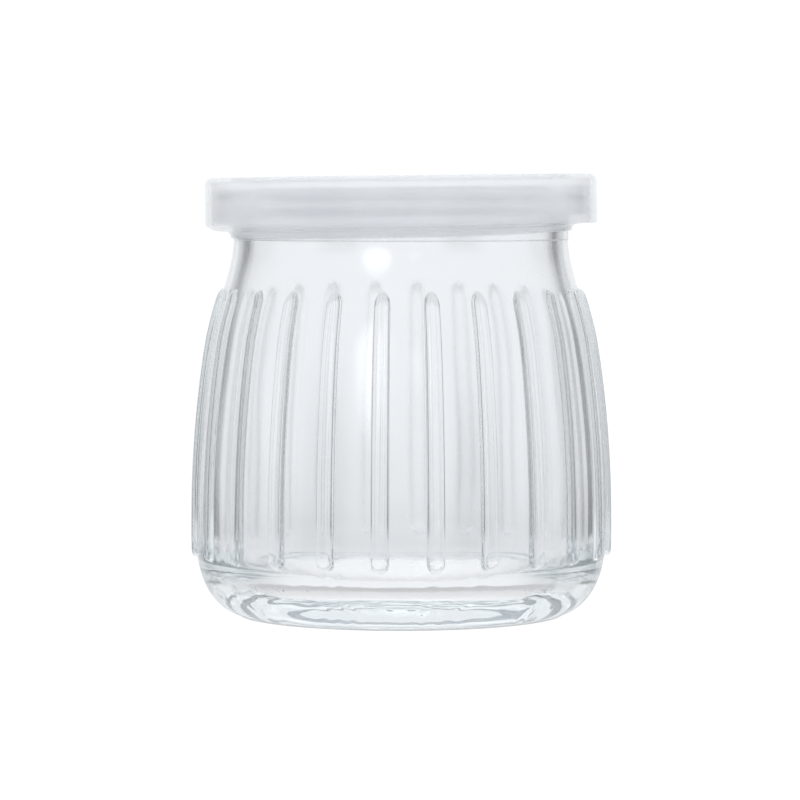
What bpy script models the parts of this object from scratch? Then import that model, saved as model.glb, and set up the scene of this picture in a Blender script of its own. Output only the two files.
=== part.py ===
"""Small ribbed glass pudding jar with a translucent snap lid.

Two turned pieces: a clear jar with round ribs down its barrel, and a soft plastic lid
that closes its mouth. Metres, +Z up, origin on the floor at the jar's axis.
"""
import math

import bmesh
import bpy
from mathutils import Matrix, Vector
from mathutils.geometry import interpolate_bezier

# Jar, outside, from the floor up
FOOT_INNER = 0.0234
FOOT_OUTER = 0.0246
BARREL_RADIUS = 0.0330
HEEL_HEIGHT = 0.0122
HEEL_POWER = 2.13
BARREL_WIDEST = 0.0160
BARREL_CURVE = 0.174
SHOULDER_START = 0.0436
SHOULDER_END = 0.0603
SHOULDER_LOW_PULL = 0.0060
SHOULDER_HIGH_PULL = 0.0045
NECK_RADIUS = 0.0269
FINISH_STEP = 0.0604
FINISH_RADIUS = 0.0270
LIP_RADIUS = 0.0297
LIP_UNDERSIDE = 0.0660
LIP_ROUND = 0.0011
LIP_FILLET = 0.0008
JAR_HEIGHT = 0.0682

# Jar, inside and underneath
BORE_RADIUS = 0.0243
WALL = 0.0028
NECK_WALL = 0.0026
FLOOR_FLAT = 0.0200
FLOOR_HEIGHT = 0.0052
FLOOR_CROWN = 0.0003
INNER_HEEL_HEIGHT = 0.0088
INNER_HEEL_POWER = 2.2
KICK_RADIUS = 0.0214
KICK_HEIGHT = 0.0012
KICK_CROWN = 0.0005
FOOT_BEVEL_WIDTH = 0.0006
FOOT_BEVEL_HEIGHT = 0.0004

# Ribs
RIB_COUNT = 24
RIB_PHASE = math.radians(9.4)
RIB_HALF_WIDTH = 0.00135
RIB_RELIEF = 0.0010
RIB_SECTION_POWER = 3.0
RIB_BOTTOM = 0.0096
RIB_TOP = 0.0525
RIB_TOP_TAPER = 1.6
RIB_CLEARANCE = 0.0006

# Lid, as it would sit level
LID_TOP = 0.0706
LID_RADIUS = 0.0315
LID_FLARE = 0.00006
LID_CORNER = 0.0011
LID_EDGE_ROUND = 0.0004
LID_RIM_INNER = 0.0274
LID_RECESS = 0.0009
LID_UNDERSIDE = 0.06887
SKIRT_INNER = 0.03035
SKIRT_BOTTOM = 0.0627
COLLAR_OUTER = 0.0298
COLLAR_INNER = 0.0273
COLLAR_EDGE = 0.0002
COLLAR_FLAT = 0.06205
COLLAR_BOTTOM = 0.06105
COLLAR_TOP = 0.0632
PLUG_OUTER = 0.02385
PLUG_THICKNESS = 0.0010
PLUG_BOTTOM = 0.0643
LID_TILT = math.radians(0.7)
COLLAR_LIFT = 0.0006
COLLAR_LIFT_BELOW = 0.0665

# Looks
GLASS_COLOUR = (0.93, 0.96, 0.96, 1.0)
GLASS_ROUGHNESS = 0.02
GLASS_TRANSMISSION = 1.0
PLASTIC_COLOUR = (0.86, 0.88, 0.90, 1.0)
PLASTIC_ROUGHNESS = 0.35
PLASTIC_TRANSMISSION = 0.6
SHARP_ANGLE = math.radians(40)

# Fineness of the faceted solids
PLAIN_COLUMNS = 48
COLUMNS_PER_RIB = 8
RIB_SIDE_SHARES = (0.0, 0.6, 0.88, 1.0)
RIB_END_SHARES = (1.0, 0.85, 0.0)
RIB_STEPS = 7
HEEL_STEPS = 9
INNER_HEEL_STEPS = 6
DOME_STEPS = 3
SHOULDER_STEPS = 60
NECK_STEPS = 4
INNER_SHOULDER_STEPS = 5
INNER_BARREL_STEPS = 3
ROUND_STEPS = 3
EDGE_STEPS = 2
CORNER_STEPS = 4
MERGE_DISTANCE = 1e-6


def clear_scene():
    """Remove the objects of the open scene."""
    for thing in list(bpy.data.objects):
        bpy.data.objects.remove(thing, do_unlink=True)


def material(name, colour, roughness, transmission):
    """A Principled material for one piece."""
    made = bpy.data.materials.new(name)
    made.use_nodes = True
    shader = made.node_tree.nodes["Principled BSDF"]
    shader.inputs["Base Color"].default_value = colour
    shader.inputs["Roughness"].default_value = roughness
    shader.inputs["Metallic"].default_value = 0.0
    shader.inputs["Transmission Weight"].default_value = transmission
    return made


def shares(steps):
    """Evenly spaced shares from 0 to 1, both ends included."""
    return [i / steps for i in range(steps + 1)]


def arc(centre_r, centre_z, radius, start, end, steps):
    """Outline points on a round stretch; angles in degrees, 0 pointing outwards."""
    angles = [math.radians(start + (end - start) * s) for s in shares(steps)]
    return [(centre_r + radius * math.cos(a), centre_z + radius * math.sin(a)) for a in angles]


def rounded_heel(flat_r, wide_r, floor_z, height, power, steps):
    """Outline points of a heel, from its flat floor out and up to a vertical wall."""
    width = wide_r - flat_r
    points = []
    for s in shares(steps):
        turn = s * math.pi / 2
        r = flat_r + width * math.sin(turn) ** (2 / power)
        z = floor_z + height * (1 - math.cos(turn) ** (2 / power))
        points.append((r, z))
    return points


def heel_radius(z):
    """Outer radius of the plain heel at height z."""
    rise = max(0.0, 1 - z / HEEL_HEIGHT)
    return FOOT_OUTER + (BARREL_RADIUS - FOOT_OUTER) * (1 - rise ** HEEL_POWER) ** (1 / HEEL_POWER)


def barrel_radius(z):
    """Outer radius of the barrel, a long arc that is widest low down."""
    fall = max(0.0, z - BARREL_WIDEST)
    return BARREL_RADIUS - BARREL_CURVE + math.sqrt(BARREL_CURVE ** 2 - fall ** 2)


def shoulder_curve(steps):
    """Outline points from the top of the barrel's arc to the foot of the neck."""
    start_r = barrel_radius(SHOULDER_START)
    slope = (SHOULDER_START - BARREL_WIDEST) / BARREL_CURVE
    start = Vector((start_r, SHOULDER_START))
    start_handle = start + SHOULDER_LOW_PULL * Vector((-slope, 1))
    end = Vector((NECK_RADIUS, SHOULDER_END))
    end_handle = end - Vector((0, SHOULDER_HIGH_PULL))
    return [tuple(p) for p in interpolate_bezier(start, start_handle, end_handle, end, steps + 1)]


SHOULDER = shoulder_curve(SHOULDER_STEPS)


def wall_radius(z):
    """Outer radius of the jar without its ribs, from the floor to the neck."""
    if z < HEEL_HEIGHT:
        return heel_radius(z)
    if z < SHOULDER_START:
        return barrel_radius(z)
    for (r_low, z_low), (r_high, z_high) in zip(SHOULDER, SHOULDER[1:]):
        if z <= z_high:
            return r_low + (r_high - r_low) * (z - z_low) / (z_high - z_low)
    return NECK_RADIUS


def inside_radius(z):
    """Inner radius of the jar over its heel; the wall thins a little up the shoulder."""
    rise = max(0.0, (z - SHOULDER_START) / (SHOULDER_END - SHOULDER_START))
    return wall_radius(z) - WALL + (WALL - NECK_WALL) * rise


def rib_rows():
    """Heights of the outline points along the ribs, close together at the round ends."""
    low = RIB_BOTTOM + RIB_HALF_WIDTH
    high = RIB_TOP - RIB_HALF_WIDTH * RIB_TOP_TAPER
    lower_end = [low - RIB_HALF_WIDTH * share for share in RIB_END_SHARES]
    upper_end = [high + RIB_HALF_WIDTH * RIB_TOP_TAPER * share for share in RIB_END_SHARES]
    middle = [low + (high - low) * s for s in shares(RIB_STEPS)[1:-1]]
    return lower_end + middle + upper_end[::-1]


def underside_outline():
    """From the centre of the kicked-up base out to the foot ring."""
    crown = KICK_HEIGHT + KICK_CROWN
    dome = [(KICK_RADIUS * s, crown - KICK_CROWN * s ** 2) for s in shares(DOME_STEPS)]
    return dome + [(FOOT_INNER - FOOT_BEVEL_WIDTH, FOOT_BEVEL_HEIGHT), (FOOT_INNER, 0.0)]


def lower_outline():
    """From the centre of the base, over the foot ring, to just under the ribs."""
    heel = rounded_heel(FOOT_OUTER, BARREL_RADIUS, 0.0, HEEL_HEIGHT, HEEL_POWER, HEEL_STEPS)
    below_ribs = [p for p in heel if p[1] < RIB_BOTTOM - 2 * RIB_CLEARANCE]
    last_z = RIB_BOTTOM - RIB_CLEARANCE
    return underside_outline() + below_ribs + [(wall_radius(last_z), last_z)]


def lip_outline():
    """The rounded lip, from its underside over the top into the bore."""
    centre_r = LIP_RADIUS - LIP_ROUND
    below = arc(
        FINISH_RADIUS + LIP_FILLET, LIP_UNDERSIDE - LIP_FILLET, LIP_FILLET, 180, 90, EDGE_STEPS
    )
    outer_low = arc(centre_r, LIP_UNDERSIDE + LIP_ROUND, LIP_ROUND, -90, 0, ROUND_STEPS)
    outer_high = arc(centre_r, JAR_HEIGHT - LIP_ROUND, LIP_ROUND, 0, 90, ROUND_STEPS)
    inner = arc(BORE_RADIUS + LIP_ROUND, JAR_HEIGHT - LIP_ROUND, LIP_ROUND, 90, 180, ROUND_STEPS)
    return below + outer_low[:-1] + outer_high + inner


def inner_outline():
    """From the bore down the inside of the wall to the centre of the floor."""
    shoulder_drop = SHOULDER_START - SHOULDER_END
    heights = [SHOULDER_END + shoulder_drop * s for s in shares(INNER_SHOULDER_STEPS)]
    barrel_drop = FLOOR_HEIGHT + INNER_HEEL_HEIGHT - SHOULDER_START
    heights += [SHOULDER_START + barrel_drop * s for s in shares(INNER_BARREL_STEPS)[1:-1]]
    wall = [(inside_radius(z), z) for z in heights]
    heel = rounded_heel(
        FLOOR_FLAT, BARREL_RADIUS - WALL, FLOOR_HEIGHT, INNER_HEEL_HEIGHT, INNER_HEEL_POWER,
        INNER_HEEL_STEPS,
    )
    floor = [(FLOOR_FLAT * s, FLOOR_HEIGHT + FLOOR_CROWN * (1 - s ** 2)) for s in shares(DOME_STEPS)]
    return wall + heel[::-1] + floor[-2::-1]


def upper_outline():
    """From just over the ribs up the neck, over the lip, and down inside to the floor."""
    first_z = RIB_TOP + RIB_CLEARANCE
    heights = [first_z + (SHOULDER_END - first_z) * s for s in shares(NECK_STEPS)]
    neck = [(wall_radius(z), z) for z in heights]
    return neck + [(FINISH_RADIUS, FINISH_STEP)] + lip_outline() + inner_outline()


def turned_band(mesh, outline, columns):
    """Spin an open outline round the axis; give back its verts and its two end loops."""
    before = set(mesh.verts)
    points = [mesh.verts.new((r, 0.0, z)) for r, z in outline]
    edges = [mesh.edges.new(pair) for pair in zip(points, points[1:])]
    bmesh.ops.spin(
        mesh, geom=points + edges, cent=(0, 0, 0), axis=(0, 0, 1), angle=2 * math.pi,
        steps=columns, use_merge=True,
    )
    band = [v for v in mesh.verts if v not in before]

    def end_loop(point):
        ring = {v for v in band if abs(v.co.z - point[1]) < MERGE_DISTANCE
                and abs(v.co.xy.length - point[0]) < MERGE_DISTANCE}
        return [e for e in mesh.edges if e.verts[0] in ring and e.verts[1] in ring]

    return band, end_loop(outline[0]), end_loop(outline[-1])


def raise_ribs(band):
    """Gather the columns of a turned band onto the ribs and lift them to a round bead."""
    pitch = 2 * math.pi / RIB_COUNT
    step = pitch / COLUMNS_PER_RIB
    low = RIB_BOTTOM + RIB_HALF_WIDTH
    high = RIB_TOP - RIB_HALF_WIDTH * RIB_TOP_TAPER
    for vert in band:
        radius = vert.co.xy.length
        angle = math.atan2(vert.co.y, vert.co.x)
        rib_angle = round(angle / pitch) * pitch
        slot = round((angle - rib_angle) / step)
        if abs(slot) >= len(RIB_SIDE_SHARES):
            continue
        side = math.copysign(RIB_SIDE_SHARES[abs(slot)], slot)
        past_end = max(0.0, low - vert.co.z, (vert.co.z - high) / RIB_TOP_TAPER)
        reach = math.hypot(side, past_end / RIB_HALF_WIDTH)
        share = max(0.0, 1 - reach ** RIB_SECTION_POWER) ** (1 / RIB_SECTION_POWER)
        lifted = radius + RIB_RELIEF * share
        placed = rib_angle + math.asin(side * RIB_HALF_WIDTH / radius)
        vert.co.x = lifted * math.cos(placed)
        vert.co.y = lifted * math.sin(placed)


def finish_object(name, mesh, look):
    """Close, orient and shade a mesh, and put it in the scene as one object."""
    bmesh.ops.remove_doubles(mesh, verts=mesh.verts, dist=MERGE_DISTANCE)
    bmesh.ops.recalc_face_normals(mesh, faces=mesh.faces)
    data = bpy.data.meshes.new(name)
    mesh.to_mesh(data)
    mesh.free()
    data.shade_smooth()
    data.set_sharp_from_angle(angle=SHARP_ANGLE)
    data.materials.append(look)
    made = bpy.data.objects.new(name, data)
    bpy.context.scene.collection.objects.link(made)
    return made


def glass_jar():
    """The jar: a plain base, a ribbed barrel, and a plain neck, lip and inside."""
    mesh = bmesh.new()
    ribbed = [(wall_radius(z), z) for z in rib_rows()]
    lower, _, lower_end = turned_band(mesh, lower_outline(), PLAIN_COLUMNS)
    barrel, barrel_start, barrel_end = turned_band(mesh, ribbed, RIB_COUNT * COLUMNS_PER_RIB)
    upper, upper_start, _ = turned_band(mesh, upper_outline(), PLAIN_COLUMNS)
    raise_ribs(barrel)
    bmesh.ops.bridge_loops(mesh, edges=lower_end + barrel_start)
    bmesh.ops.bridge_loops(mesh, edges=barrel_end + upper_start)
    bmesh.ops.rotate(mesh, verts=mesh.verts, matrix=Matrix.Rotation(RIB_PHASE, 3, "Z"))
    clear = material("clear_glass", GLASS_COLOUR, GLASS_ROUGHNESS, GLASS_TRANSMISSION)
    return finish_object("glass_jar", mesh, clear)


def lid_outline():
    """Closed lid section, from the top's centre out, down the skirt and back underneath."""
    panel = LID_TOP - LID_RECESS
    step = LID_EDGE_ROUND
    wide = LID_RADIUS + LID_FLARE
    top = [(0.0, panel), (LID_RIM_INNER - step, panel)]
    top += arc(LID_RIM_INNER + step, LID_TOP - step, step, 180, 90, EDGE_STEPS)
    corner = arc(LID_RADIUS - LID_CORNER, LID_TOP - LID_CORNER, LID_CORNER, 90, 0, CORNER_STEPS)
    skirt_end = arc(wide - step, SKIRT_BOTTOM + step, step, 0, -90, EDGE_STEPS)
    fillet = COLLAR_FLAT - COLLAR_BOTTOM
    collar = [(COLLAR_OUTER, COLLAR_FLAT)]
    collar += arc(COLLAR_INNER + COLLAR_EDGE + fillet, COLLAR_BOTTOM, fillet, 90, 180, ROUND_STEPS)
    collar += [(COLLAR_INNER, COLLAR_BOTTOM + COLLAR_EDGE)]
    collar += [(COLLAR_INNER, COLLAR_TOP - 2 * step), (COLLAR_INNER + 2 * step, COLLAR_TOP)]
    channel = [(SKIRT_INNER - step, COLLAR_TOP), (SKIRT_INNER, COLLAR_TOP + step)]
    channel += [(SKIRT_INNER, LID_UNDERSIDE - step), (SKIRT_INNER - step, LID_UNDERSIDE)]
    plug_inner = PLUG_OUTER - PLUG_THICKNESS
    plug = [(PLUG_OUTER, LID_UNDERSIDE), (PLUG_OUTER, PLUG_BOTTOM + step)]
    plug += [(PLUG_OUTER - step, PLUG_BOTTOM), (plug_inner + step, PLUG_BOTTOM)]
    plug += [(plug_inner, PLUG_BOTTOM + step), (plug_inner, LID_UNDERSIDE)]
    return top + corner + skirt_end + collar + channel + plug + [(0.0, LID_UNDERSIDE)]


def lift_collar(mesh):
    """Raise the collar and the plug ring's edge on the side where the lid stands higher."""
    for vert in mesh.verts:
        inside = vert.co.xy.length < SKIRT_INNER + MERGE_DISTANCE
        if inside and vert.co.z < COLLAR_LIFT_BELOW and vert.co.x > 0:
            vert.co.z += COLLAR_LIFT * (vert.co.x / COLLAR_INNER) ** 2


def plastic_lid():
    """The lid: recessed top, raised rim, skirt with an inward collar, and a plug ring."""
    mesh = bmesh.new()
    turned_band(mesh, lid_outline(), PLAIN_COLUMNS)
    lift_collar(mesh)
    seat = Matrix.Translation((0, 0, LID_UNDERSIDE))
    tilt = seat @ Matrix.Rotation(-LID_TILT, 4, "Y") @ seat.inverted()
    bmesh.ops.transform(mesh, matrix=tilt, verts=mesh.verts)
    milky = material("milky_plastic", PLASTIC_COLOUR, PLASTIC_ROUGHNESS, PLASTIC_TRANSMISSION)
    return finish_object("plastic_lid", mesh, milky)


clear_scene()
glass_jar()
plastic_lid()
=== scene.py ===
import bisect
import math

import bmesh
import bpy
from mathutils import Matrix, Vector
from mathutils.geometry import interpolate_bezier


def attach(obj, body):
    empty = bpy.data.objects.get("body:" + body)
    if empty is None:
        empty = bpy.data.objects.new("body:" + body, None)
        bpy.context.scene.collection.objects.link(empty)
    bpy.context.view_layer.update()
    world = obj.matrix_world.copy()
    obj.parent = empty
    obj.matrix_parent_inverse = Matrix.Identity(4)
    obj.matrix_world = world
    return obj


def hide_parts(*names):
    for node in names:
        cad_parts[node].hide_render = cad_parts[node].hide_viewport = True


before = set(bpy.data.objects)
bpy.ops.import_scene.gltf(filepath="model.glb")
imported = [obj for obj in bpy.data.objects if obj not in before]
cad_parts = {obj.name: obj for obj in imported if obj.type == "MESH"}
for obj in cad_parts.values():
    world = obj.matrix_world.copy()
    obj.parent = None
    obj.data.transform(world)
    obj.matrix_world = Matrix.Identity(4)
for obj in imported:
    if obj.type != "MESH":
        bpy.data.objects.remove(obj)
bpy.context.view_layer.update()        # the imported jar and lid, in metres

# Shared mesh helpers

merging = {"outline": 1e-6, "turned": 1e-7, "sectors": 3e-7, "wall": 1e-5}    # metres apart, or less


def arcPoints(centreR, centreZ, radius, startDeg, endDeg, steps):
    angles = [math.radians(startDeg + (endDeg - startDeg) * i / steps) for i in range(steps + 1)]
    return [(centreR + radius * math.cos(a), centreZ + radius * math.sin(a)) for a in angles]


def linePoints(start, end, steps):
    return [
        (start[0] + (end[0] - start[0]) * i / steps, start[1] + (end[1] - start[1]) * i / steps)
        for i in range(steps + 1)
    ]


def rangeOf(low, high, steps):
    return [low + (high - low) * i / steps for i in range(steps + 1)]


def smoothStep(x, low, high):
    t = min(1.0, max(0.0, (x - low) / (high - low)))
    return t * t * (3 - 2 * t)


def outlineLoop(mesh, points):
    # the outline's points as verts and edges, without its repeated points
    kept = [points[0]]
    for p in points[1:]:
        if math.dist(p, kept[-1]) > merging["outline"]:
            kept.append(p)
    verts = [mesh.verts.new((r, 0.0, z)) for r, z in kept]
    return verts, [mesh.edges.new(pair) for pair in zip(verts, verts[1:])]


def closeUp(mesh, gap):
    bmesh.ops.remove_doubles(mesh, verts=mesh.verts, dist=gap)
    bmesh.ops.recalc_face_normals(mesh, faces=mesh.faces)


def spinOutline(mesh, points, columns):
    # one open outline, from the axis and back to it, turned right round
    verts, edges = outlineLoop(mesh, points)
    bmesh.ops.spin(mesh, geom=verts + edges, cent=(0, 0, 0), axis=(0, 0, 1),
                   angle=2 * math.pi, steps=columns, use_merge=True)
    closeUp(mesh, merging["turned"])


def repeatAround(mesh, copies):
    # turned copies of one sector, joined along their edges
    sector = mesh.verts[:] + mesh.edges[:] + mesh.faces[:]
    for i in range(1, copies):
        made = bmesh.ops.duplicate(mesh, geom=sector)["geom"]
        corners = [part for part in made if isinstance(part, bmesh.types.BMVert)]
        bmesh.ops.rotate(mesh, verts=corners, matrix=Matrix.Rotation(2 * math.pi * i / copies, 3, "Z"))
    closeUp(mesh, merging["sectors"])


def pieceFromMesh(name, mesh, look):
    data = bpy.data.meshes.new(name)
    mesh.to_mesh(data)
    mesh.free()
    data.shade_smooth()
    data.materials.append(look)
    piece = bpy.data.objects.new(name, data)
    bpy.context.scene.collection.objects.link(piece)
    print(name + ":", len(data.polygons), "faces")
    return piece


# Shared material helpers

def startMaterial(name):
    look = bpy.data.materials.new(name)
    look.use_nodes = True
    return look, look.node_tree, look.node_tree.nodes["Principled BSDF"]


def addNode(tree, kind, **values):
    node = tree.nodes.new(kind)
    for name, value in values.items():
        node.inputs[name].default_value = value
    return node


def feed(tree, sockets, values):
    # each value is a number for the socket itself, or an output to link to it
    for socket, value in zip(sockets, values):
        if isinstance(value, (int, float)):
            socket.default_value = value
        else:
            tree.links.new(value, socket)


def mathNode(tree, operation, *values):
    node = tree.nodes.new("ShaderNodeMath")
    node.operation = operation
    feed(tree, node.inputs, values)
    return node.outputs["Value"]


def mixNumbers(tree, share, first, second):
    node = tree.nodes.new("ShaderNodeMix")
    feed(tree, [node.inputs[name] for name in ("Factor", "A", "B")], (share, first, second))
    return node.outputs["Result"]


def smoothBetween(tree, value, low, high):
    node = tree.nodes.new("ShaderNodeMapRange")
    node.interpolation_type = "SMOOTHSTEP"
    feed(tree, [node.inputs[name] for name in ("Value", "From Min", "From Max")], (value, low, high))
    return node.outputs["Result"]


def noiseBump(tree, shader, finish):
    # faint ripples in a surface, the sizes in metres; gives the place that other patterns read
    place = tree.nodes.new("ShaderNodeTexCoord")
    noise = addNode(tree, "ShaderNodeTexNoise", Scale=finish["rippleScale"], Detail=finish["rippleDetail"])
    tree.links.new(place.outputs["Object"], noise.inputs["Vector"])
    bump = addNode(tree, "ShaderNodeBump", Distance=finish["rippleDepth"], Strength=1.0)
    tree.links.new(noise.outputs["Fac"], bump.inputs["Height"])
    tree.links.new(bump.outputs["Normal"], shader.inputs["Normal"])
    return place


def axisDistance(tree, place):
    # distance from the upright axis and height, from object coordinates
    parts = tree.nodes.new("ShaderNodeSeparateXYZ")
    tree.links.new(place.outputs["Object"], parts.inputs[0])
    squares = [mathNode(tree, "POWER", parts.outputs[axis], 2.0) for axis in "XY"]
    return mathNode(tree, "SQRT", mathNode(tree, "ADD", *squares)), parts.outputs["Z"]


# Glass jar: every size a user may change

jar = {
    "footInner": 0.0234, "footOuter": 0.0246, "barrel": 0.0330,
    "heelHeight": 0.0122, "heelPower": 2.13,
    "widest": 0.0160, "barrelCurve": 0.174,
    "shoulderStart": 0.0436, "shoulderEnd": 0.0603, "lowPull": 0.0060, "highPull": 0.0045,
    "neck": 0.0269, "finish": 0.0270, "lip": 0.0297, "lipUnder": 0.0660, "lipRound": 0.0011,
    "lipFillet": 0.0008, "neckWall": 0.0026,
    "height": 0.0682, "bore": 0.0243, "wall": 0.0028,
    "floorFlat": 0.0200, "floorHeight": 0.0052, "floorCrown": 0.0003,
    "innerHeel": 0.0088, "innerPower": 2.2,
    "kick": 0.0214, "kickHeight": 0.0012, "kickCrown": 0.0005,
    "kickEdge": (0.0007, -0.0003),    # out and up from the kick's edge
    "footEdge": ((-0.0008, 0.00045), (-0.0003, 0.00010)),    # out from the foot ring, and the height
    "ringStart": ((0.0, 0.00003), (0.00002, 0.00006)),    # out from the neck, up from the shoulder's end
    "ringEnd": ((-0.00002, 0.00013), (0.0, 0.00016), (0.0, 0.00019), (0.0, 0.0006)),    # out from the finish
    "boreTop": 0.0021,    # under the lip's top
    "ribs": 24, "ribPhase": math.radians(9.4), "ribHalf": 0.00135, "ribRelief": 0.0010,
    "ribBottom": 0.0096, "ribTop": 0.0525, "ribTaper": 1.6, "ribPower": 3.0, "ribFootPower": 1.6,
    "ribLead": 0.0003, "ribGap": 0.0004,    # plain wall under and over the ribs
    "ribSlack": 0.001,    # share past a rib's end that still counts as rib
    "insideBend": 0.0396,    # height where the inner rows grow wider apart
}
jarSteps = {
    "kick": 5, "foot": 4, "heel": 26, "barrel": 15, "shoulder": 80, "above": 8, "neck": 3, "fillet": 3,
    "round": 5, "lipTop": 2, "bore": 3, "insideHigh": 13, "insideLow": 10, "innerHeel": 18, "floor": 7,
    "columnsPerRib": 26,
}
ribSides = (0.0, 0.2, 0.4, 0.57, 0.71, 0.82, 0.9, 0.955, 1.0, 1.06, 1.12)    # share of the half width
ribFoot = (0.955, 1.06)    # where its round shoulder gives way to the fillet

# the moulded glass is less even inside than outside; lengths in metres
uneven = {
    "depth": 0.00005, "waves": ((0.5, 3, 70, 0.4), (0.3, 7, -160, 1.9), (0.2, 11, 240, 2.7)),
    "fade": 0.008,    # below the shoulder's end
    "crinkle": 0.00004, "crinkleWaves": 31, "crinkleLength": 0.0042, "crinkleFade": (0.0150, 0.0100),
    "crinkleFrom": (0.008, 0.016), "acrossBend": (4, 9, 0.5), "alongBend": (2.5, 7, 1.1),
    "wallHalf": 0.0015, "above": 0.004, "floorReach": (0.024, 0.0072), "softFrom": 0.0067,
}
knurl = {"count": 120, "depth": 0.00010, "below": 0.0006, "halfWidth": 0.0014}


def superHeel(flatR, wideR, floorZ, height, power, steps):
    points = []
    for i in range(steps + 1):
        turn = i / steps * math.pi / 2
        points.append((flatR + (wideR - flatR) * math.sin(turn) ** (2 / power),
                       floorZ + height * (1 - math.cos(turn) ** (2 / power))))
    return points


def barrelRadius(z):
    fall = max(0.0, z - jar["widest"])
    return jar["barrel"] - jar["barrelCurve"] + math.sqrt(jar["barrelCurve"] ** 2 - fall ** 2)


def shoulderPoints():
    slope = (jar["shoulderStart"] - jar["widest"]) / jar["barrelCurve"]
    start = Vector((barrelRadius(jar["shoulderStart"]), jar["shoulderStart"]))
    end = Vector((jar["neck"], jar["shoulderEnd"]))
    lowHandle = start + jar["lowPull"] * Vector((-slope, 1))
    highHandle = end - Vector((0, jar["highPull"]))
    return [tuple(p) for p in interpolate_bezier(start, lowHandle, highHandle, end, jarSteps["shoulder"] + 1)]


shoulder = shoulderPoints()
shoulderHeights = [z for r, z in shoulder]


def wallRadius(z):
    if z < jar["heelHeight"]:
        rise = max(0.0, 1 - z / jar["heelHeight"])
        return jar["footOuter"] + (jar["barrel"] - jar["footOuter"]) * (
            1 - rise ** jar["heelPower"]) ** (1 / jar["heelPower"])
    if z < jar["shoulderStart"]:
        return barrelRadius(z)
    if z >= shoulderHeights[-1]:
        return jar["neck"]
    after = bisect.bisect_right(shoulderHeights, z)
    (r0, z0), (r1, z1) = shoulder[after - 1], shoulder[after]
    return r0 + (r1 - r0) * (z - z0) / (z1 - z0)


def insideRadius(z):
    # the wall thins a little up the shoulder
    rise = max(0.0, (z - jar["shoulderStart"]) / (jar["shoulderEnd"] - jar["shoulderStart"]))
    return wallRadius(z) - jar["wall"] + (jar["wall"] - jar["neckWall"]) * rise


def baseOutline():
    # from the middle of the kicked-up base, over the foot ring, to just under the ribs
    crown = jar["kickHeight"] + jar["kickCrown"]
    points = [(jar["kick"] * s, crown - jar["kickCrown"] * s * s) for s in rangeOf(0, 1, jarSteps["kick"])]
    points.append((jar["kick"] + jar["kickEdge"][0], jar["kickHeight"] + jar["kickEdge"][1]))
    points += [(jar["footInner"] + out, z) for out, z in jar["footEdge"]]
    points += linePoints((jar["footInner"], 0.0), (jar["footOuter"], 0.0), jarSteps["foot"])
    heel = superHeel(jar["footOuter"], jar["barrel"], 0, jar["heelHeight"], jar["heelPower"],
                     jarSteps["heel"])
    return points + [p for p in heel if p[1] < jar["ribBottom"] - jar["ribLead"]]


def barrelOutline():
    # rows crowd at both ends of the ribs, at the same shares as the columns across them
    topLength = jar["ribHalf"] * jar["ribTaper"]
    lowEnd = [jar["ribBottom"] + jar["ribHalf"] * (1 - share) for share in ribSides[::-1]]
    topEnd = [jar["ribTop"] + topLength * (share - 1) for share in ribSides]
    middle = rangeOf(lowEnd[-1], topEnd[0], jarSteps["barrel"])[1:-1]
    above = rangeOf(jar["ribTop"] + jar["ribGap"], jar["shoulderEnd"], jarSteps["above"])
    return [(wallRadius(z), z) for z in lowEnd + middle + topEnd + above]


def lipOutline():
    # the small ring at the foot of the neck, the neck, and the round lip into the bore
    fillet, ring = jar["lipFillet"], jar["shoulderEnd"]
    lipR, lipZ, lipRound = jar["lip"], jar["height"], jar["lipRound"]
    points = [(jar["neck"] + out, ring + up) for out, up in jar["ringStart"]]
    points += [(jar["finish"] + out, ring + up) for out, up in jar["ringEnd"]]
    points += linePoints(points[-1], (jar["finish"], jar["lipUnder"] - fillet), jarSteps["neck"])
    points += arcPoints(jar["finish"] + fillet, jar["lipUnder"] - fillet, fillet, 180, 90, jarSteps["fillet"])
    points += arcPoints(lipR - lipRound, jar["lipUnder"] + lipRound, lipRound, -90, 0, jarSteps["round"])
    points += arcPoints(lipR - lipRound, lipZ - lipRound, lipRound, 0, 90, jarSteps["round"])
    points += linePoints((lipR - lipRound, lipZ), (jar["bore"] + lipRound, lipZ), jarSteps["lipTop"])
    points += arcPoints(jar["bore"] + lipRound, lipZ - lipRound, lipRound, 90, 180, jarSteps["round"])
    return points + linePoints((jar["bore"], lipZ - jar["boreTop"]), (jar["bore"], ring), jarSteps["bore"])


def insideOutline():
    # from the bore down the inside of the wall to the middle of the floor
    heights = rangeOf(jar["shoulderEnd"], jar["insideBend"], jarSteps["insideHigh"])
    heights += rangeOf(heights[-1], jar["floorHeight"] + jar["innerHeel"], jarSteps["insideLow"])
    heel = superHeel(jar["floorFlat"], jar["barrel"] - jar["wall"], jar["floorHeight"],
                     jar["innerHeel"], jar["innerPower"], jarSteps["innerHeel"])
    floor = [(jar["floorFlat"] * s, jar["floorHeight"] + jar["floorCrown"] * (1 - s * s))
             for s in rangeOf(1, 0, jarSteps["floor"])]
    return [(insideRadius(z), z) for z in heights] + heel[::-1] + floor


def ribHeight(reach):
    # flattish bead with steep round shoulders and a small fillet where it meets the wall
    power = jar["ribPower"]
    if reach < ribFoot[0]:
        return (1 - reach ** power) ** (1 / power)
    foot = (1 - ribFoot[0] ** power) ** (1 / power)
    return foot * max(0.0, (ribFoot[1] - reach) / (ribFoot[1] - ribFoot[0])) ** jar["ribFootPower"]


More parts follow.
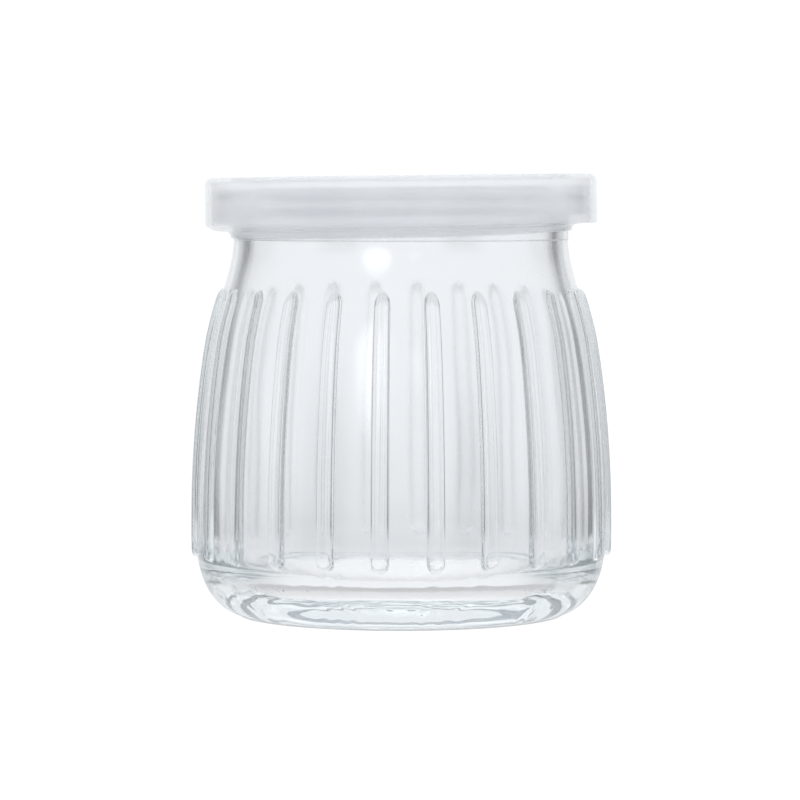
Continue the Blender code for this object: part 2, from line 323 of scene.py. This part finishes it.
def raiseRib(v, side):
    # a point at this share of the half width, moved so that the rows curve round the rib's ends
    low = jar["ribBottom"] + jar["ribHalf"]
    topLength = jar["ribHalf"] * jar["ribTaper"]
    high = jar["ribTop"] - topLength
    z = v.co.z
    past = max(0.0, (low - z) / jar["ribHalf"], (z - high) / topLength)
    if past > ribSides[-1] + jar["ribSlack"]:
        return wallRadius(z)
    onward = math.sqrt(max(0.0, past * past - side * side))
    if z > high:
        v.co.z = high + topLength * onward
    elif z < low:
        v.co.z = low - jar["ribHalf"] * onward
    return wallRadius(v.co.z) + jar["ribRelief"] * ribHeight(max(past, side))


def ribSector(mesh):
    # the outline turned through one rib's share, with columns crowded at the rib
    pitch = 2 * math.pi / jar["ribs"]
    columns = jarSteps["columnsPerRib"]
    last = len(ribSides) - 1
    edge = ribSides[-1] * jar["ribHalf"] / jar["barrel"]
    verts, edges = outlineLoop(mesh, baseOutline() + barrelOutline() + lipOutline() + insideOutline())
    bmesh.ops.rotate(mesh, verts=verts, matrix=Matrix.Rotation(-pitch / 2, 3, "Z"))
    bmesh.ops.spin(mesh, geom=verts + edges, cent=(0, 0, 0), axis=(0, 0, 1), angle=pitch, steps=columns)
    for v in mesh.verts:
        radius = v.co.xy.length
        if radius < merging["outline"]:
            continue
        slot = round(math.atan2(v.co.y, v.co.x) / pitch * columns)
        onRib = abs(slot) <= last
        if onRib:
            turn = ribSides[abs(slot)] * jar["ribHalf"] / jar["barrel"]
        else:
            turn = edge + (pitch / 2 - edge) * (abs(slot) - last) / (columns // 2 - last)
        outside = radius > wallRadius(v.co.z) - merging["wall"] and v.co.z < jar["shoulderEnd"]
        if outside and onRib:
            radius = raiseRib(v, ribSides[abs(slot)])
        turn = math.copysign(turn, slot)
        v.co.x = radius * math.cos(turn)
        v.co.y = radius * math.sin(turn)


def crinkleAt(angle, radius, z):
    # small lumps where the glass set last, in the inner heel and the floor's edge
    bend, turns, phase = uneven["acrossBend"]
    lump = math.sin(uneven["crinkleWaves"] * angle + bend * math.sin(turns * angle + phase))
    bend, turns, phase = uneven["alongBend"]
    along = 2 * math.pi * (radius + z) / uneven["crinkleLength"]
    lump *= math.sin(along + bend * math.sin(turns * angle + phase))
    return lump * smoothStep(z, *uneven["crinkleFade"]) * smoothStep(radius, *uneven["crinkleFrom"])


def unevenInside(mesh):
    # the inner wall and floor wander a little, the outside is held by the mould
    for v in mesh.verts:
        radius = v.co.xy.length
        z = v.co.z
        onOutside = radius > wallRadius(z) - uneven["wallHalf"]
        if z > jar["shoulderEnd"] or z < uneven["above"] or radius < merging["outline"] or onOutside:
            continue
        angle = math.atan2(v.co.y, v.co.x)
        wave = sum(share * math.sin(turns * angle + rise * z + phase)
                   for share, turns, rise, phase in uneven["waves"])
        fade = smoothStep(z, jar["shoulderEnd"], jar["shoulderEnd"] - uneven["fade"])
        lift = uneven["depth"] * wave * fade + uneven["crinkle"] * crinkleAt(angle, radius, z)
        if radius < uneven["floorReach"][0] and z < uneven["floorReach"][1]:
            v.co.z += lift
        else:
            v.co.x *= 1 + lift / radius
            v.co.y *= 1 + lift / radius


def markInside(mesh):
    # an attribute for the material: 1 on the inner wall, up to the lip
    inside = mesh.verts.layers.float.new("inside")
    for v in mesh.verts:
        z = v.co.z
        if z > uneven["softFrom"] and v.co.xy.length < wallRadius(z) - uneven["wallHalf"]:
            v[inside] = smoothStep(z, jar["height"] - jar["lipRound"], jar["lipUnder"])


def knurlFoot(mesh):
    # fine stipple pressed into the bearing ring
    middle = (jar["footInner"] + jar["footOuter"]) / 2
    for v in mesh.verts:
        if v.co.z < knurl["below"] and abs(v.co.xy.length - middle) < knurl["halfWidth"]:
            angle = math.atan2(v.co.y, v.co.x)
            v.co.z += knurl["depth"] * (0.5 - 0.5 * math.cos(knurl["count"] * angle))


glass = {
    "tint": (0.97, 0.977, 0.987, 1), "ior": 1.50, "depthTint": (0.72, 0.78, 0.80, 1), "density": 8.0,
    "rippleScale": 110.0, "rippleDetail": 2.0, "rippleDepth": 0.00001,
    "underRoughness": 0.03, "underHeight": (0.00312, 0.00208), "insideRoughness": 0.12,
}


def glassMaterial():
    look, tree, shader = startMaterial("clear jar glass")
    shader.inputs["Base Color"].default_value = glass["tint"]
    shader.inputs["IOR"].default_value = glass["ior"]
    shader.inputs["Transmission Weight"].default_value = 1.0
    away, height = axisDistance(tree, noiseBump(tree, shader, glass))
    inward = smoothBetween(tree, away, jar["footOuter"], jar["footInner"])
    low = smoothBetween(tree, height, *glass["underHeight"])
    under = mathNode(tree, "MULTIPLY", mathNode(tree, "MULTIPLY", inward, low), glass["underRoughness"])
    inside = tree.nodes.new("ShaderNodeAttribute")
    inside.attribute_name = "inside"
    soft = mathNode(tree, "MULTIPLY", inside.outputs["Fac"], glass["insideRoughness"])
    tree.links.new(mathNode(tree, "MAXIMUM", under, soft), shader.inputs["Roughness"])
    body = addNode(tree, "ShaderNodeVolumeAbsorption", Color=glass["depthTint"], Density=glass["density"])
    tree.links.new(body.outputs["Volume"], tree.nodes["Material Output"].inputs["Volume"])
    return look


def buildJar():
    mesh = bmesh.new()
    ribSector(mesh)
    repeatAround(mesh, jar["ribs"])
    unevenInside(mesh)
    knurlFoot(mesh)
    markInside(mesh)
    bmesh.ops.rotate(mesh, verts=mesh.verts, matrix=Matrix.Rotation(jar["ribPhase"], 3, "Z"))
    piece = pieceFromMesh("jarGlass", mesh, glassMaterial())
    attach(piece, "root")
    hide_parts("glass_jar")


# Snap lid

lid = {
    "top": 0.0706, "radius": 0.0315, "flare": 0.00006, "corner": 0.0011, "edge": 0.0004,
    "rimInner": 0.0274, "recess": 0.0009, "underside": 0.06887,
    "skirtInner": 0.03035, "skirtBottom": 0.0627, "skirtLip": (0.0004, 0.00012),
    "collarOuter": 0.0298, "collarInner": 0.0273,
    "collarEdge": 0.0002, "collarFlat": 0.06205, "collarBottom": 0.06105, "collarTop": 0.0632,
    "collarLift": 0.0006, "liftBelow": 0.0665,
    "lipEdge": 0.00016, "plugOuter": 0.02385, "plugThick": 0.0010, "plugBottom": 0.0643,
    "tilt": math.radians(0.7),
}
lidSteps = {
    "panel": 10, "underPanel": 8, "rimEdge": 4, "corner": 8, "skirt": 6, "skirtEdge": 5,
    "collarFillet": 9, "collarEdge": 4, "channel": 4, "plug": 4, "plugEdge": 3, "columns": 256,
}


def skirtOutline():
    # from the middle of the recessed top, over the rim and down the skirt to the collar
    edge, corner = lid["edge"], lid["corner"]
    panel = lid["top"] - lid["recess"]
    wide = lid["radius"] + lid["flare"]
    points = linePoints((0, panel), (lid["rimInner"] - edge, panel), lidSteps["panel"])
    points += arcPoints(lid["rimInner"] - edge, panel + edge, edge, -90, 0, lidSteps["rimEdge"])
    points += arcPoints(lid["rimInner"] + edge, lid["top"] - edge, edge, 180, 90, lidSteps["rimEdge"])
    points += arcPoints(lid["radius"] - corner, lid["top"] - corner, corner, 90, 0, lidSteps["corner"])
    points += linePoints(points[-1], (wide, lid["skirtBottom"] + edge), lidSteps["skirt"])
    points += arcPoints(wide - edge, lid["skirtBottom"] + edge, edge, 0, -90, lidSteps["skirtEdge"])
    points.append((lid["collarOuter"] + lid["skirtLip"][0], lid["collarFlat"] + lid["skirtLip"][1]))
    return points + [(lid["collarOuter"], lid["collarFlat"])]


def collarOutline():
    # round the collar's edge and up into the channel over it
    edge, half = lid["edge"], lid["collarEdge"] / 2
    fillet = lid["collarFlat"] - lid["collarBottom"]
    inside, low, high, wall = lid["collarInner"], lid["collarBottom"], lid["collarTop"], lid["skirtInner"]
    points = arcPoints(inside + lid["collarEdge"] + fillet, low, fillet, 90, 180, lidSteps["collarFillet"])
    points += arcPoints(inside + half, low, half, 0, -180, lidSteps["collarEdge"])
    points += [(inside, high - 2 * edge), (inside + 0.6 * edge, high - 0.6 * edge), (inside + 2 * edge, high)]
    points += arcPoints(wall - edge, high + edge, edge, -90, 0, lidSteps["channel"])
    return points + arcPoints(wall - edge, lid["underside"] - edge, edge, 0, 90, lidSteps["channel"])


def plugOutline():
    # the plug ring, then the underside to its middle
    edge, tip, steps = lid["edge"], lid["lipEdge"], lidSteps["plugEdge"]
    outer, inner = lid["plugOuter"], lid["plugOuter"] - lid["plugThick"]
    top, bottom = lid["underside"], lid["plugBottom"] + tip
    points = [(outer + edge, top), (outer + 0.1 * edge, top - 0.4 * edge)]
    points += linePoints((outer, top - edge), (outer, bottom), lidSteps["plug"])
    points += arcPoints(outer - tip, bottom, tip, 0, -90, steps)
    points += arcPoints(inner + tip, bottom, tip, -90, -180, steps)
    points += linePoints((inner, bottom), (inner, top - edge), lidSteps["plug"])
    points += [(inner - 0.4 * edge, top - 0.1 * edge), (inner - edge, top)]
    return points + linePoints(points[-1], (0, top), lidSteps["underPanel"])


def liftCollar(mesh):
    # the collar and the plug ring's edge stand higher on one side, as the lid isn't pressed home
    for v in mesh.verts:
        within = v.co.xy.length < lid["skirtInner"] + merging["outline"]
        if within and v.co.z < lid["liftBelow"] and v.co.x > 0:
            v.co.z += lid["collarLift"] * (v.co.x / lid["collarInner"]) ** 2


plastic = {
    "milk": (0.92, 0.935, 0.965, 1), "paleMilk": (0.97, 0.98, 1.0, 1), "ior": 1.45,
    "transmission": 0.3, "alpha": 0.46, "roughness": (0.05, 0.10),
    "cloudScale": 90.0, "cloudDetail": 3.0, "cloudEdges": (0.3, 0.7),
    "rippleScale": 240.0, "rippleDetail": 2.0, "rippleDepth": 0.000004,
}


def lidMaterial():
    look, tree, shader = startMaterial("milky lid plastic")
    shader.inputs["IOR"].default_value = plastic["ior"]
    shader.inputs["Transmission Weight"].default_value = plastic["transmission"]
    shader.inputs["Alpha"].default_value = plastic["alpha"]
    place = noiseBump(tree, shader, plastic)
    cloud = addNode(tree, "ShaderNodeTexNoise", Scale=plastic["cloudScale"], Detail=plastic["cloudDetail"])
    tree.links.new(place.outputs["Object"], cloud.inputs["Vector"])
    colour = tree.nodes.new("ShaderNodeMix")
    colour.data_type = "RGBA"
    tree.links.new(smoothBetween(tree, cloud.outputs["Fac"], *plastic["cloudEdges"]), colour.inputs["Factor"])
    colour.inputs["A"].default_value = plastic["milk"]
    colour.inputs["B"].default_value = plastic["paleMilk"]
    tree.links.new(colour.outputs["Result"], shader.inputs["Base Color"])
    rough = mixNumbers(tree, cloud.outputs["Fac"], *plastic["roughness"])
    tree.links.new(rough, shader.inputs["Roughness"])
    return look


def buildLid():
    mesh = bmesh.new()
    spinOutline(mesh, skirtOutline() + collarOutline() + plugOutline(), lidSteps["columns"])
    liftCollar(mesh)
    seat = Matrix.Translation((0, 0, lid["underside"]))
    tilt = seat @ Matrix.Rotation(-lid["tilt"], 4, "Y") @ seat.inverted()
    bmesh.ops.transform(mesh, matrix=tilt, verts=mesh.verts)
    piece = pieceFromMesh("snapLid", mesh, lidMaterial())
    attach(piece, "root")
    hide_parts("plastic_lid")


# Floor: a small pale disc under the foot that glows, with a painted pool of light under the jar and painted
# shade towards its rim

floorLook = {
    "radius": 0.0262, "corners": 96, "paper": (0.30, 0.30, 0.30, 1), "roughness": 0.9,
    "glow": 0.90, "shade": 0.66, "shadeFrom": (0.011, 0.026), "rimShade": 0.70, "rimFrom": (0.0230, 0.0250),
}


def buildFloor():
    mesh = bmesh.new()
    bmesh.ops.create_circle(mesh, cap_ends=True, segments=floorLook["corners"], radius=floorLook["radius"])
    look, tree, shader = startMaterial("pale floor")
    shader.inputs["Base Color"].default_value = floorLook["paper"]
    shader.inputs["Roughness"].default_value = floorLook["roughness"]
    shader.inputs["Specular IOR Level"].default_value = 0.0
    shader.inputs["Emission Color"].default_value = (1, 1, 1, 1)
    away, height = axisDistance(tree, tree.nodes.new("ShaderNodeTexCoord"))
    # painted light: the disc's glow is brightest under the jar, as if light were focused through the glass,
    # and falls to painted shade towards the rim
    shade = smoothBetween(tree, away, *floorLook["shadeFrom"])
    glow = mixNumbers(tree, shade, floorLook["glow"], floorLook["shade"])
    rim = smoothBetween(tree, away, *floorLook["rimFrom"])    # the contact shadow at the foot
    glow = mathNode(tree, "MULTIPLY", glow, mixNumbers(tree, rim, 1.0, floorLook["rimShade"]))
    tree.links.new(glow, shader.inputs["Emission Strength"])
    pieceFromMesh("studioFloor", mesh, look)


# Light: a soft white tent with a brighter roof, darker corners and two round lamps

tent = {
    "colour": (0.965, 0.985, 1.0, 1), "wall": 0.98, "roof": 1.3, "roofEdge": (0.45, 0.85), "backdrop": 1.08,
    "dip": 0.80, "dipTop": (-0.095, -0.05), "dipBottom": (0.50, 0.75),    # the table's edge, below the jar
    "corners": 4, "cornerEdge": (0.35, 0.80), "cornerEnd": (0.12, 0.30),
    "cornerDepth": 0.74, "lowCornerDepth": 0.95, "cornerDeepens": (0.055, 0.075),
    "lamps": ((17, 17, 13, 2.6), (-9, 15, 5, 0.7)), "lampCore": 0.1,    # side, rise, reach in degrees, level
}


def cornerShade(tree, parts, depth):
    # how dark the tent is in each direction, from its corners alone
    azimuth = mathNode(tree, "ARCTAN2", parts.outputs["Y"], parts.outputs["X"])
    wave = mathNode(tree, "COSINE", mathNode(tree, "MULTIPLY", azimuth, tent["corners"]))
    corner = smoothBetween(tree, mathNode(tree, "MULTIPLY", wave, -1.0), *tent["cornerEdge"])
    low = smoothBetween(tree, depth, *tent["cornerDeepens"])
    deepness = mixNumbers(tree, low, tent["cornerDepth"], tent["lowCornerDepth"])
    dark = mathNode(tree, "MULTIPLY", corner, deepness)
    fromLevel = mathNode(tree, "ABSOLUTE", parts.outputs["Z"])
    near = mathNode(tree, "SUBTRACT", 1.0, smoothBetween(tree, fromLevel, *tent["cornerEnd"]))
    return mathNode(tree, "MULTIPLY", dark, near)


def lampLight(tree, place, side, rise, reach, level):
    side, rise, reach = math.radians(side), math.radians(rise), math.radians(reach)
    toward = tree.nodes.new("ShaderNodeVectorMath")
    toward.operation = "DOT_PRODUCT"
    tree.links.new(place, toward.inputs[0])
    toward.inputs[1].default_value = (
        -math.sin(side) * math.cos(rise), -math.cos(side) * math.cos(rise), math.sin(rise))
    spot = smoothBetween(tree, toward.outputs["Value"], math.cos(reach), math.cos(reach * tent["lampCore"]))
    return mathNode(tree, "MULTIPLY", spot, level)


def buildWorld():
    world = bpy.data.worlds.new("soft studio")
    bpy.context.scene.world = world
    world.use_nodes = True
    tree = world.node_tree
    place = tree.nodes.new("ShaderNodeTexCoord").outputs["Generated"]
    parts = tree.nodes.new("ShaderNodeSeparateXYZ")
    tree.links.new(place, parts.inputs[0])
    height = parts.outputs["Z"]
    depth = mathNode(tree, "MULTIPLY", height, -1.0)
    clear = mathNode(tree, "MAXIMUM", smoothBetween(tree, height, *tent["dipTop"]),
                     smoothBetween(tree, depth, *tent["dipBottom"]))
    walls = mixNumbers(tree, clear, tent["dip"], tent["wall"])
    level = mixNumbers(tree, smoothBetween(tree, height, *tent["roofEdge"]), walls, tent["roof"])
    light = mathNode(tree, "SUBTRACT", 1.0, cornerShade(tree, parts, depth))
    level = mathNode(tree, "MULTIPLY", level, light)
    for lamp in tent["lamps"]:
        level = mathNode(tree, "ADD", level, lampLight(tree, place, *lamp))
    seen = tree.nodes.new("ShaderNodeLightPath").outputs["Is Camera Ray"]
    background = tree.nodes["Background"]
    background.inputs["Color"].default_value = tent["colour"]
    tree.links.new(mixNumbers(tree, seen, level, tent["backdrop"]), background.inputs["Strength"])
    print("tent:", tent["corners"], "corners,", len(tent["lamps"]), "lamps")


# Camera and light paths

view = {
    "height": 0.0683, "distance": 0.629, "side": -0.00013, "clipStart": 0.01,
    "focalPixels": 3905.0, "horizonRow": 190.0, "imagePixels": 800.0, "sensor": 36.0,
}
bounces = {"all": 48, "through": 48, "alpha": 32, "gloss": 24, "matt": 24}    # clear glass needs many


def buildCamera():
    data = bpy.data.cameras.new("photoCamera")
    data.sensor_width = view["sensor"]
    data.lens = view["focalPixels"] / view["imagePixels"] * view["sensor"]
    data.clip_start = view["clipStart"]
    camera = bpy.data.objects.new("photoCamera", data)
    pitch = math.atan((view["imagePixels"] / 2 - view["horizonRow"]) / view["focalPixels"])
    camera.location = (view["side"], -view["distance"], view["height"])
    camera.rotation_euler = (math.pi / 2 - pitch, 0, 0)
    bpy.context.scene.collection.objects.link(camera)
    bpy.context.scene.camera = camera
    print("camera:", round(data.lens, 1), "mm lens,", view["distance"], "m away")


scene = bpy.context.scene
scene.view_settings.view_transform = "Standard"
scene.cycles.max_bounces = bounces["all"]
scene.cycles.transmission_bounces = bounces["through"]
scene.cycles.transparent_max_bounces = bounces["alpha"]
scene.cycles.glossy_bounces = bounces["gloss"]
scene.cycles.diffuse_bounces = bounces["matt"]
buildJar()
buildLid()
buildFloor()
buildWorld()
buildCamera()
